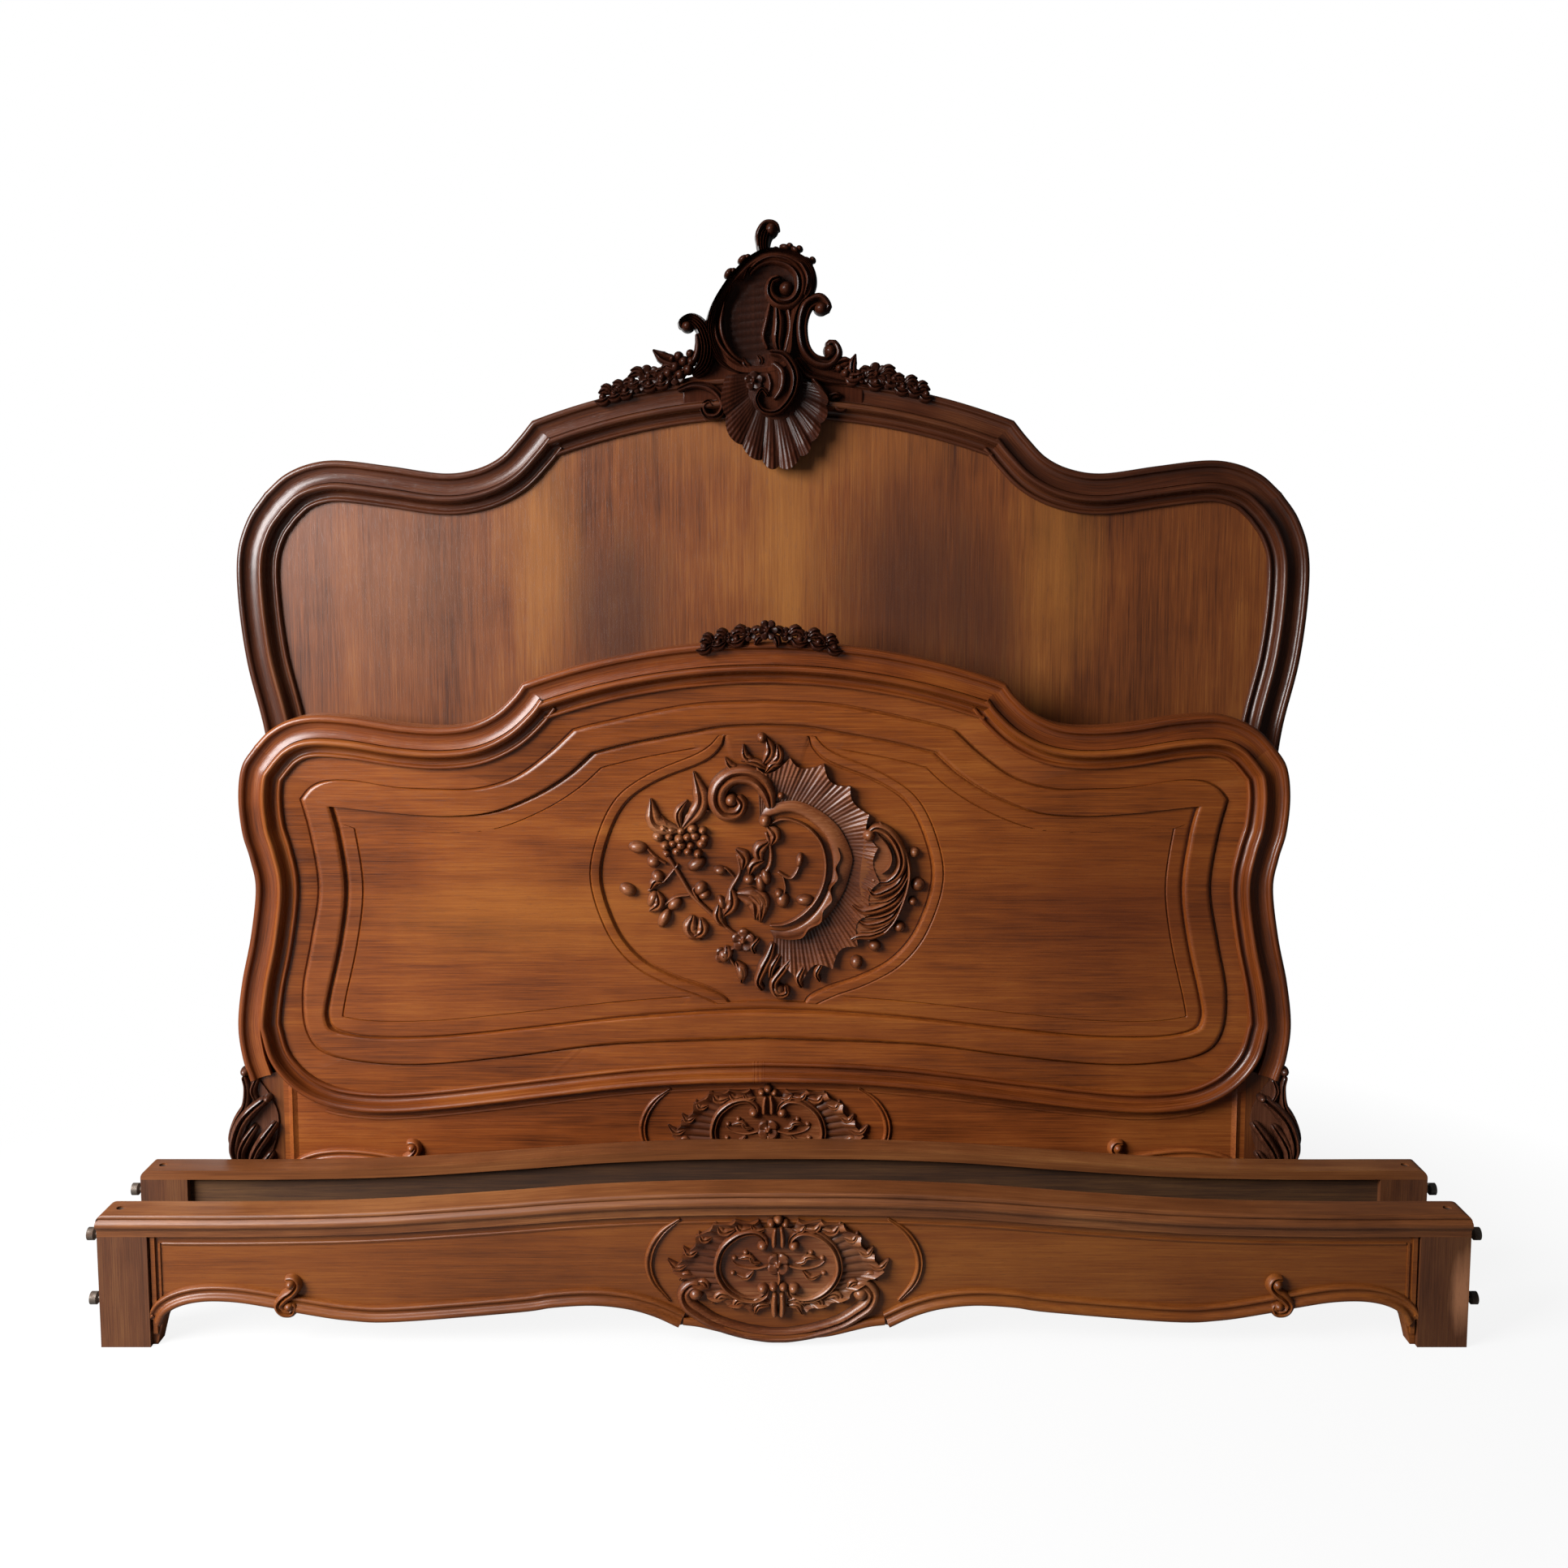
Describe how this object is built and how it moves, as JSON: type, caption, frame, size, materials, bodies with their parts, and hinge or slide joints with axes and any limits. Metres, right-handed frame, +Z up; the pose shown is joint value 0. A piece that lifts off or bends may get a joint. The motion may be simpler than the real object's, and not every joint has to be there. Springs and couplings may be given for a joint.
{
  "type": "carved bed",
  "caption": "Carved walnut double bed taken apart: arched headboard with a shell crest, footboard with a rocaille panel, and scalloped side rails with headed studs.",
  "frame": {"origin": "on the floor, at the middle of the space that the four boards stand in", "axes": "+X to the viewer's right along the boards, +Y from the rails back to the headboard, +Z up"},
  "size_m": [1.972, 0.3911, 1.632],
  "materials": {
    "walnut": "waxed, satin",
    "dark_walnut": "waxed, satin",
    "carved_walnut": "waxed, glossy on the high points",
    "oak": "rough, unfinished",
    "iron": "old, brown, dull"
  },
  "bodies": {
    "bed": {"head_post_left": "dark_walnut", "head_post_right": "dark_walnut", "head_top_rail": "dark_walnut", "head_bottom_rail": "dark_walnut", "head_panel": "dark_walnut", "head_panel_moulding": "dark_walnut", "head_crest_block": "carved_walnut", "head_crest_cartouche": "carved_walnut", "head_crest_shell": "carved_walnut", "head_crest_scroll_left": "carved_walnut", "head_crest_scroll_right": "carved_walnut", "head_crest_finial": "carved_walnut", "head_crest_sprays": "carved_walnut", "head_keyhole_plates": "iron", "head_plate_screws": "iron", "foot_post_left": "walnut", "foot_post_right": "walnut", "foot_leg_left": "walnut", "foot_leg_right": "walnut", "foot_acanthus_left": "carved_walnut", "foot_acanthus_right": "carved_walnut", "foot_top_rail": "walnut", "foot_bottom_rail": "walnut", "foot_panel": "walnut", "foot_panel_moulding": "walnut", "foot_panel_rocaille": "carved_walnut", "foot_panel_spray": "carved_walnut", "foot_garland": "carved_walnut", "foot_apron_moulding": "walnut", "foot_apron_cartouche": "carved_walnut", "foot_keyhole_plates": "iron", "foot_plate_screws": "iron", "front_rail_board": "walnut", "front_rail_cap": "walnut", "front_rail_block_left": "walnut", "front_rail_block_right": "walnut", "front_rail_moulding": "walnut", "front_rail_cartouche": "carved_walnut", "front_rail_ledger": "oak", "front_rail_ledger_screws": "iron", "front_rail_end_plates": "iron", "back_rail_board": "walnut", "back_rail_cap": "walnut", "back_rail_block_left": "walnut", "back_rail_block_right": "walnut", "back_rail_moulding": "walnut", "back_rail_cartouche": "carved_walnut", "back_rail_ledger": "oak", "back_rail_ledger_screws": "iron", "back_rail_end_plates": "iron"},
    "front_left_cam": {"front_rail_cam_left": "iron"},
    "front_left_studs": {"front_rail_studs_left": "iron"},
    "front_right_cam": {"front_rail_cam_right": "iron"},
    "front_right_studs": {"front_rail_studs_right": "iron"},
    "back_left_cam": {"back_rail_cam_left": "iron"},
    "back_left_studs": {"back_rail_studs_left": "iron"},
    "back_right_cam": {"back_rail_cam_right": "iron"},
    "back_right_studs": {"back_rail_studs_right": "iron"}
  },
  "joints": [
    {"name": "front_left_cam_turn", "type": "hinge", "parent": "bed", "child": "front_left_cam", "pos_m": [-0.939, -0.1655, 0.15], "axis": [0, 0, 1], "range_deg": [0, 180]},
    {"name": "front_left_studs_draw", "type": "slide", "parent": "bed", "child": "front_left_studs", "axis": [1, 0, 0], "range_m": [0, 0.004]},
    {"name": "front_right_cam_turn", "type": "hinge", "parent": "bed", "child": "front_right_cam", "pos_m": [0.939, -0.1655, 0.15], "axis": [0, 0, 1], "range_deg": [0, 180]},
    {"name": "front_right_studs_draw", "type": "slide", "parent": "bed", "child": "front_right_studs", "axis": [-1, 0, 0], "range_m": [0, 0.004]},
    {"name": "back_left_cam_turn", "type": "hinge", "parent": "bed", "child": "back_left_cam", "pos_m": [-0.939, -0.0155, 0.15], "axis": [0, 0, 1], "range_deg": [0, 180]},
    {"name": "back_left_studs_draw", "type": "slide", "parent": "bed", "child": "back_left_studs", "axis": [1, 0, 0], "range_m": [0, 0.004]},
    {"name": "back_right_cam_turn", "type": "hinge", "parent": "bed", "child": "back_right_cam", "pos_m": [0.939, -0.0155, 0.15], "axis": [0, 0, 1], "range_deg": [0, 180]},
    {"name": "back_right_studs_draw", "type": "slide", "parent": "bed", "child": "back_right_studs", "axis": [-1, 0, 0], "range_m": [0, 0.004]}
  ],
  "couplings": [
    {"joint": "front_left_cam_turn", "follows": "front_left_studs_draw", "rad_per_m": 785.4},
    {"joint": "front_right_cam_turn", "follows": "front_right_studs_draw", "rad_per_m": 785.4},
    {"joint": "back_left_cam_turn", "follows": "back_left_studs_draw", "rad_per_m": 785.4},
    {"joint": "back_right_cam_turn", "follows": "back_right_studs_draw", "rad_per_m": 785.4}
  ]
}
